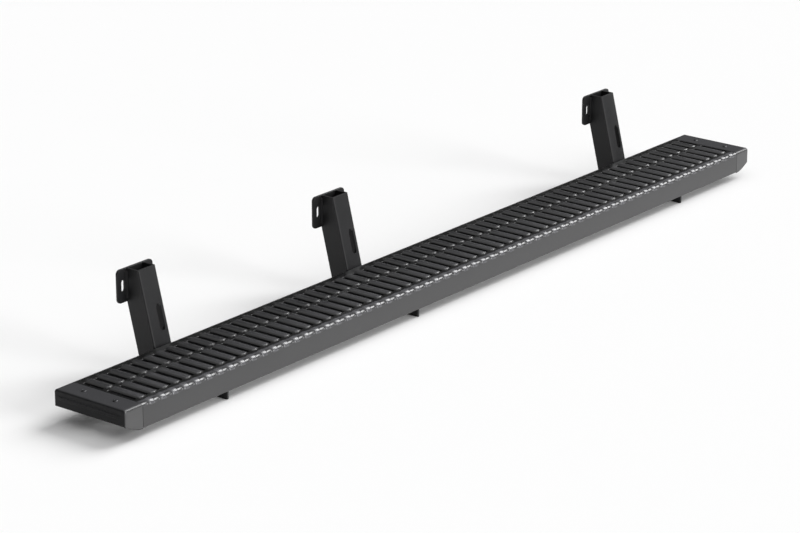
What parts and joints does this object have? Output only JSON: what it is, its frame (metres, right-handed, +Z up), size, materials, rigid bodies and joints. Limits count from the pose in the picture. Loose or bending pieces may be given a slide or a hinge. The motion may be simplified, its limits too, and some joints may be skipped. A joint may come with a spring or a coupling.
{
  "type": "vehicle running board",
  "caption": "Side step for a pick-up: a ridged, perforated tread board with moulded end caps on folded brackets that bolt to the vehicle's body.",
  "frame": {"origin": "on the surface that the brackets' feet stand on, under the middle of the whole assembly", "axes": "+X to the vehicle's rear along the board, +Y inboard towards the vehicle, +Z up"},
  "size_m": [2.032, 0.2566, 0.202],
  "materials": {
    "tread_coat": "black textured powder coat",
    "bracket_coat": "satin black coating",
    "cap_plastic": "matte black moulded plastic",
    "track_metal": "black anodised extrusion",
    "fastener_metal": "black zinc"
  },
  "bodies": {
    "root": {"tread_board": "tread_coat", "outboard_track": "track_metal", "inboard_track": "track_metal", "front_end_cap": "cap_plastic", "rear_end_cap": "cap_plastic", "front_cap_outboard_screw": "fastener_metal", "front_cap_inboard_screw": "fastener_metal", "rear_cap_outboard_screw": "fastener_metal", "rear_cap_inboard_screw": "fastener_metal", "front_bracket": "bracket_coat", "front_body_plate": "bracket_coat", "front_outboard_track_bolt": "fastener_metal", "front_outboard_washer": "fastener_metal", "front_outboard_nut": "fastener_metal", "front_inboard_track_bolt": "fastener_metal", "front_inboard_washer": "fastener_metal", "front_inboard_nut": "fastener_metal", "middle_bracket": "bracket_coat", "middle_body_plate": "bracket_coat", "middle_outboard_track_bolt": "fastener_metal", "middle_outboard_washer": "fastener_metal", "middle_outboard_nut": "fastener_metal", "middle_inboard_track_bolt": "fastener_metal", "middle_inboard_washer": "fastener_metal", "middle_inboard_nut": "fastener_metal", "rear_bracket": "bracket_coat", "rear_body_plate": "bracket_coat", "rear_outboard_track_bolt": "fastener_metal", "rear_outboard_washer": "fastener_metal", "rear_outboard_nut": "fastener_metal", "rear_inboard_track_bolt": "fastener_metal", "rear_inboard_washer": "fastener_metal", "rear_inboard_nut": "fastener_metal"}
  },
  "joints": []
}
